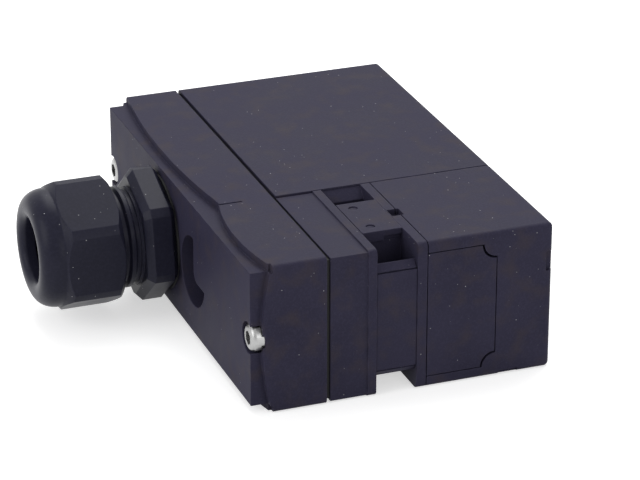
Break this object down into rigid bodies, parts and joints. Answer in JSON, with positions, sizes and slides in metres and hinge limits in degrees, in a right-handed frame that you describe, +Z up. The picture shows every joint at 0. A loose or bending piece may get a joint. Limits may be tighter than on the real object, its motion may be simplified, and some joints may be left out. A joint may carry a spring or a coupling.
{
  "type": "tongue interlock switch",
  "caption": "Flat plastic guard switch with tongue slots, twin cam rotors, a locking solenoid, a wiring cover and a cable gland.",
  "frame": {"origin": "centre of the 60 mm by 90 mm housing's footprint, on its underside", "axes": "+X from the cable gland's face to the far end, +Y from the tongue slots' side to the solenoid's side, +Z up through the 30 mm thickness"},
  "size_m": [0.0874, 0.09, 0.03],
  "materials": {
    "housing_plastic": "fine moulded texture, black with a violet cast",
    "gland_plastic": "smooth black nylon",
    "black_rubber": "matte",
    "plated_steel": "bright zinc plating",
    "rotor_steel": "hardened and ground",
    "yoke_steel": "yellow-passivated",
    "brass": "turned",
    "copper_wire": "enamelled winding wire",
    "inner_plastic": "grey moulding",
    "terminal_plastic": "green moulding",
    "board": "green solder resist"
  },
  "bodies": {
    "housing": {"wiring_cover": "housing_plastic", "cover_gasket": "black_rubber", "cover_screws": "plated_steel", "solenoid_housing": "housing_plastic", "mounting_inserts": "brass", "unit_dowels": "plated_steel", "head_housing": "housing_plastic", "bridge_top": "housing_plastic", "bridge_bottom": "housing_plastic", "bridge_pins": "housing_plastic", "slot_apron": "housing_plastic", "head_cover": "housing_plastic", "side_panel": "housing_plastic", "fixed_contacts": "brass", "contact_block": "inner_plastic", "coil_bobbin": "inner_plastic", "coil_winding": "copper_wire", "magnet_yoke": "yoke_steel", "terminal_block": "terminal_plastic", "terminal_clamps": "plated_steel", "terminal_screws": "plated_steel", "circuit_board": "board", "gland_body": "gland_plastic", "gland_seal": "black_rubber", "gland_gasket": "black_rubber", "armature_spring": "plated_steel"},
    "far_rotor": {"cam_disc_far": "rotor_steel", "spindle_far": "rotor_steel", "timing_gear_far": "rotor_steel", "lock_wheel": "rotor_steel"},
    "near_rotor": {"cam_disc_near": "rotor_steel", "spindle_near": "rotor_steel", "timing_gear_near": "rotor_steel"},
    "contact_carrier": {"contact_slider": "inner_plastic", "contact_bridge": "brass"},
    "plunger": {"armature": "rotor_steel", "locking_bolt": "rotor_steel"},
    "dome_nut": {"gland_nut": "gland_plastic"}
  },
  "joints": [
    {"name": "near_rotor_turn", "type": "hinge", "parent": "housing", "child": "near_rotor", "pos_m": [-0.00155, -0.0345, 0.015], "axis": [1, 0, 0], "range_deg": [-60, 60]},
    {"name": "far_rotor_turn", "type": "hinge", "parent": "housing", "child": "far_rotor", "pos_m": [-0.00155, -0.0255, 0.015], "axis": [1, 0, 0], "range_deg": [-60, 60]},
    {"name": "contact_travel", "type": "slide", "parent": "housing", "child": "contact_carrier", "axis": [0, 0, 1], "range_m": [-0.00471, 0.00471]},
    {"name": "bolt_travel", "type": "slide", "parent": "housing", "child": "plunger", "axis": [0, -1, 0], "range_m": [0, 0.003], "stiffness_N_per_m": 300, "springref_m": -0.002, "deforming": ["armature_spring"]},
    {"name": "dome_nut_turn", "type": "hinge", "parent": "housing", "child": "dome_nut", "pos_m": [-0.049, 0.0095, 0.015], "axis": [-1, 0, 0], "range_deg": [0, 360]}
  ],
  "couplings": [
    {"joint": "near_rotor_turn", "follows": "contact_travel", "rad_per_m": -222.22},
    {"joint": "far_rotor_turn", "follows": "contact_travel", "rad_per_m": 222.22}
  ]
}
